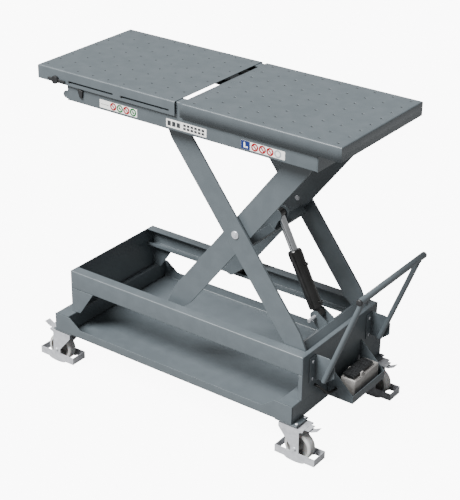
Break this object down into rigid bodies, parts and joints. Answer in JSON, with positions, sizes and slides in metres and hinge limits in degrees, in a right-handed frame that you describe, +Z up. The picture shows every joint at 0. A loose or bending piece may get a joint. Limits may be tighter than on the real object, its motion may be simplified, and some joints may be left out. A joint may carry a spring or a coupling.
{
  "type": "scissor lift table",
  "caption": "Mobile scissor lift table: perforated fixed and sliding decks, single scissor with central ram, open base frame over a load tray, push handle, foot pump and braked swivel casters.",
  "frame": {"origin": "on the floor, under the middle of the whole table's bounding box", "axes": "+X runs along the table towards the push handle, +Y is the table's rear long side, +Z is up"},
  "size_m": [1.9698, 0.862, 1.7168],
  "materials": {
    "slate_powder_coat": "fine texture powder coat, satin",
    "zinc_plate": "bright zinc plated steel",
    "grey_nylon": "cast nylon, matt",
    "black_paint": "gloss black enamel",
    "chromed_rod": "hard chrome, polished",
    "cast_aluminium": "bead blasted casting",
    "black_plastic": "moulded, fine grain",
    "black_rubber": "smooth hose cover"
  },
  "bodies": {
    "base": {"tray": "slate_powder_coat", "rail_front": "slate_powder_coat", "rail_rear": "slate_powder_coat", "end_plate_left": "slate_powder_coat", "end_plate_right": "slate_powder_coat", "lower_pivot_front": "zinc_plate", "lower_pivot_rear": "zinc_plate", "handle": "slate_powder_coat", "handle_cap_front": "black_plastic", "handle_cap_rear": "black_plastic", "handle_bracket_front": "slate_powder_coat", "handle_bracket_rear": "slate_powder_coat", "pump_cage": "slate_powder_coat", "foot_pump": "cast_aluminium", "pump_hose": "black_rubber", "caster_plate_left_front": "slate_powder_coat", "caster_plate_left_rear": "slate_powder_coat", "caster_plate_right_front": "slate_powder_coat", "caster_plate_right_rear": "slate_powder_coat"},
    "outer_arms": {"outer_arm_front": "slate_powder_coat", "outer_arm_rear": "slate_powder_coat", "outer_cross_beam": "slate_powder_coat", "centre_pin_front": "zinc_plate", "centre_pin_rear": "zinc_plate", "cylinder_pin": "zinc_plate"},
    "inner_arms": {"inner_arm_front": "slate_powder_coat", "inner_arm_rear": "slate_powder_coat", "inner_cross_beam": "slate_powder_coat"},
    "platform": {"top_rail_front": "slate_powder_coat", "top_rail_rear": "slate_powder_coat", "top_end_left": "slate_powder_coat", "top_end_right": "slate_powder_coat", "fixed_deck": "slate_powder_coat", "upper_pivot_front": "zinc_plate", "upper_pivot_rear": "zinc_plate", "guide_pin_a": "black_plastic", "guide_pin_b": "black_plastic"},
    "extension": {"sliding_deck": "slate_powder_coat"},
    "clamp": {"clamp_lever": "black_plastic"},
    "lock": {"lock_knob": "black_plastic"},
    "barrel": {"cylinder_barrel": "black_paint"},
    "piston_rod": {"cylinder_rod": "chromed_rod"},
    "pedal": {"foot_pedal": "black_plastic"},
    "lower_roller_f": {"lower_roller_front": "grey_nylon"},
    "lower_roller_r": {"lower_roller_rear": "grey_nylon"},
    "upper_roller_f": {"upper_roller_front": "grey_nylon"},
    "upper_roller_r": {"upper_roller_rear": "grey_nylon"},
    "fork_left_front": {"caster_fork_left_front": "zinc_plate"},
    "fork_left_rear": {"caster_fork_left_rear": "zinc_plate"},
    "fork_right_front": {"caster_fork_right_front": "zinc_plate"},
    "fork_right_rear": {"caster_fork_right_rear": "zinc_plate"},
    "wheel_left_front": {"caster_wheel_left_front": "grey_nylon"},
    "wheel_left_rear": {"caster_wheel_left_rear": "grey_nylon"},
    "wheel_right_front": {"caster_wheel_right_front": "grey_nylon"},
    "wheel_right_rear": {"caster_wheel_right_rear": "grey_nylon"},
    "brake_left_front": {"caster_brake_left_front": "zinc_plate"},
    "brake_left_rear": {"caster_brake_left_rear": "zinc_plate"},
    "brake_right_front": {"caster_brake_right_front": "zinc_plate"},
    "brake_right_rear": {"caster_brake_right_rear": "zinc_plate"}
  },
  "joints": [
    {"name": "lift", "type": "hinge", "parent": "base", "child": "outer_arms", "pos_m": [0.674, 0, 0.5155], "axis": [0, 1, 0], "range_deg": [-43, 3]},
    {"name": "scissor_centre", "type": "hinge", "parent": "outer_arms", "child": "inner_arms", "pos_m": [0.24967, 0, 1.07251], "axis": [0, 1, 0], "range_deg": [-6.5, 86.5]},
    {"name": "platform_level", "type": "hinge", "parent": "inner_arms", "child": "platform", "pos_m": [0.674, 0, 1.62952], "axis": [0, 1, 0], "range_deg": [-43.5, 3.5]},
    {"name": "cylinder_tilt", "type": "hinge", "parent": "outer_arms", "child": "barrel", "pos_m": [0.56991, 0, 0.60692], "axis": [0, 1, 0], "range_deg": [-8.5, 1]},
    {"name": "rod_stroke", "type": "slide", "parent": "barrel", "child": "piston_rod", "axis": [-0.4612, 0, 0.8873], "range_m": [-0.062, 0.006]},
    {"name": "deck_slide", "type": "slide", "parent": "platform", "child": "extension", "axis": [-1, 0, 0], "range_m": [0, 0.28]},
    {"name": "clamp_turn", "type": "hinge", "parent": "extension", "child": "clamp", "pos_m": [-0.826, -0.3698, 1.66082], "axis": [0, 1, 0], "range_deg": [0, 80]},
    {"name": "lock_turn", "type": "hinge", "parent": "platform", "child": "lock", "pos_m": [-0.671, -0.3563, 1.61452], "axis": [0, 1, 0], "range_deg": [0, 90]},
    {"name": "pedal_rock", "type": "hinge", "parent": "base", "child": "pedal", "pos_m": [0.7918, 0.023, 0.3443], "axis": [1, 0, 0], "range_deg": [-5, 8], "stiffness_Nm_per_rad": 4},
    {"name": "lower_roller_front_spin", "type": "hinge", "parent": "inner_arms", "child": "lower_roller_f", "pos_m": [-0.17466, -0.332, 0.5155], "axis": [0, 1, 0], "continuous": true},
    {"name": "lower_roller_rear_spin", "type": "hinge", "parent": "inner_arms", "child": "lower_roller_r", "pos_m": [-0.17466, 0.332, 0.5155], "axis": [0, 1, 0], "continuous": true},
    {"name": "upper_roller_front_spin", "type": "hinge", "parent": "outer_arms", "child": "upper_roller_f", "pos_m": [-0.17466, -0.332, 1.62952], "axis": [0, 1, 0], "continuous": true},
    {"name": "upper_roller_rear_spin", "type": "hinge", "parent": "outer_arms", "child": "upper_roller_r", "pos_m": [-0.17466, 0.332, 1.62952], "axis": [0, 1, 0], "continuous": true},
    {"name": "swivel_left_front", "type": "hinge", "parent": "base", "child": "fork_left_front", "pos_m": [-0.811, -0.375, 0.2022], "axis": [0, 0, 1], "continuous": true},
    {"name": "swivel_left_rear", "type": "hinge", "parent": "base", "child": "fork_left_rear", "pos_m": [-0.811, 0.375, 0.2022], "axis": [0, 0, 1], "continuous": true},
    {"name": "swivel_right_front", "type": "hinge", "parent": "base", "child": "fork_right_front", "pos_m": [0.6695, -0.375, 0.2022], "axis": [0, 0, 1], "continuous": true},
    {"name": "swivel_right_rear", "type": "hinge", "parent": "base", "child": "fork_right_rear", "pos_m": [0.6695, 0.375, 0.2022], "axis": [0, 0, 1], "continuous": true},
    {"name": "roll_left_front", "type": "hinge", "parent": "fork_left_front", "child": "wheel_left_front", "pos_m": [-0.866, -0.375, 0.07932], "axis": [0, 1, 0], "continuous": true},
    {"name": "roll_left_rear", "type": "hinge", "parent": "fork_left_rear", "child": "wheel_left_rear", "pos_m": [-0.866, 0.375, 0.07932], "axis": [0, 1, 0], "continuous": true},
    {"name": "roll_right_front", "type": "hinge", "parent": "fork_right_front", "child": "wheel_right_front", "pos_m": [0.7245, -0.375, 0.07932], "axis": [0, 1, 0], "continuous": true},
    {"name": "roll_right_rear", "type": "hinge", "parent": "fork_right_rear", "child": "wheel_right_rear", "pos_m": [0.7245, 0.375, 0.07932], "axis": [0, 1, 0], "continuous": true},
    {"name": "brake_left_front_press", "type": "hinge", "parent": "fork_left_front", "child": "brake_left_front", "pos_m": [-0.916, -0.375, 0.1902], "axis": [0, -1, 0], "range_deg": [0, 12]},
    {"name": "brake_left_rear_press", "type": "hinge", "parent": "fork_left_rear", "child": "brake_left_rear", "pos_m": [-0.916, 0.375, 0.1902], "axis": [0, -1, 0], "range_deg": [0, 12]},
    {"name": "brake_right_front_press", "type": "hinge", "parent": "fork_right_front", "child": "brake_right_front", "pos_m": [0.7745, -0.375, 0.1902], "axis": [0, 1, 0], "range_deg": [0, 12]},
    {"name": "brake_right_rear_press", "type": "hinge", "parent": "fork_right_rear", "child": "brake_right_rear", "pos_m": [0.7745, 0.375, 0.1902], "axis": [0, 1, 0], "range_deg": [0, 12]}
  ],
  "couplings": [
    {"joint": "scissor_centre", "follows": "lift", "ratio": -2},
    {"joint": "platform_level", "follows": "lift", "ratio": 1},
    {"joint": "cylinder_tilt", "follows": "lift", "ratio": 0.18707},
    {"joint": "rod_stroke", "follows": "lift", "m_per_rad": 0.0797}
  ]
}
